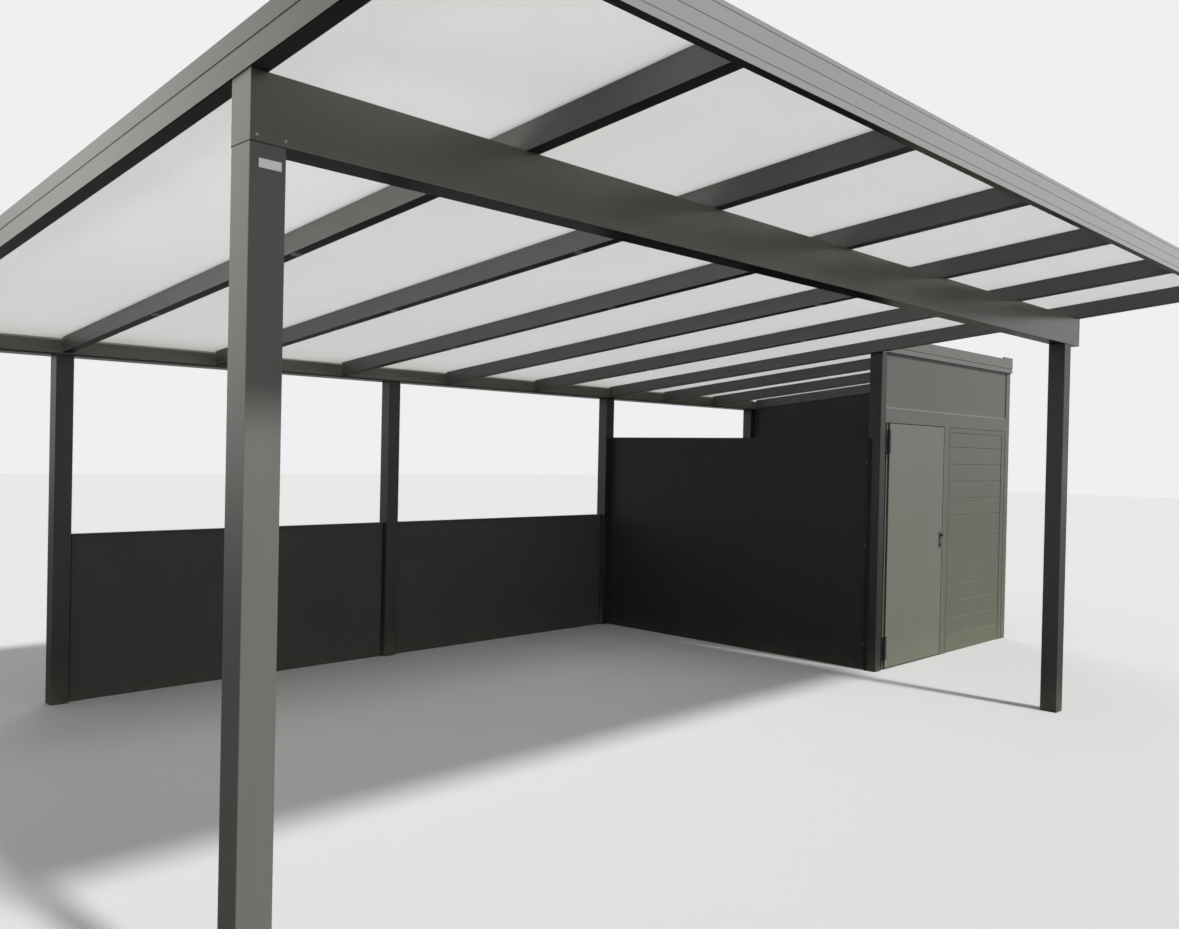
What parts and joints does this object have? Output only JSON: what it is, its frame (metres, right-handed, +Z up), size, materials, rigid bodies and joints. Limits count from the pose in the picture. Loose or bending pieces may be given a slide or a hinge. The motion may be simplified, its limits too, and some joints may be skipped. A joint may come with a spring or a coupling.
{
  "type": "carport with tool store",
  "caption": "Flat lean-to aluminium carport with opal roof sheets, low rear screens and a closed store with a hinged door at its far rear corner.",
  "frame": {"origin": "centre of the near front post's foot, on the ground", "axes": "+X along the front beam towards the far front post, +Y towards the low rear side, +Z up"},
  "size_m": [8.806, 5.62, 2.9772],
  "materials": {
    "frame": "fine matt powder coat, anthracite",
    "trim": "fine matt powder coat, anthracite",
    "edging": "fine matt powder coat, anthracite",
    "infill_boards": "fine matt powder coat, anthracite",
    "door_skin": "fine matt powder coat, anthracite",
    "hinge": "black, satin",
    "handle": "black, satin",
    "roof_sheet": "opal, slightly glossy"
  },
  "bodies": {
    "carport": {"near_front_post": "frame", "far_front_post": "frame", "front_beam": "frame", "front_beam_end_caps": "frame", "near_rear_post": "frame", "middle_rear_post": "frame", "store_near_rear_post": "frame", "store_far_rear_post": "frame", "store_door_post": "frame", "store_far_front_post": "frame", "rear_gutter_beam": "frame", "gutter_end_caps": "frame", "carport_rafters": "frame", "store_rafters": "frame", "near_verge_rafter": "frame", "far_verge_rafter": "frame", "store_end_rafter": "frame", "near_verge_trim": "trim", "far_verge_trim": "trim", "store_verge_trim": "trim", "front_fascia": "trim", "store_fascia": "trim", "carport_roof_sheets": "roof_sheet", "store_roof_sheets": "roof_sheet", "carport_cap_strips": "frame", "store_cap_strips": "frame", "rear_low_panels": "infill_boards", "low_panel_side_bars": "edging", "low_panel_cap_rails": "edging", "store_near_wall": "infill_boards", "near_wall_side_bars": "edging", "store_far_wall": "infill_boards", "far_wall_side_bars": "edging", "store_rear_wall": "infill_boards", "rear_wall_side_bars": "edging", "store_transom_rail": "frame", "store_head_panel": "infill_boards", "door_closing_stile": "frame", "store_front_boards": "infill_boards", "front_board_frame": "edging", "door_hinge_jamb": "frame", "hinge_post_plates": "hinge"},
    "door": {"door_leaf": "door_skin", "hinge_door_plates": "hinge", "door_handle": "handle"}
  },
  "joints": [
    {"name": "store_door_hinge", "type": "hinge", "parent": "carport", "child": "door", "pos_m": [6.3185, 1.453, 0], "axis": [0, 0, -1], "range_deg": [0, 110]}
  ]
}
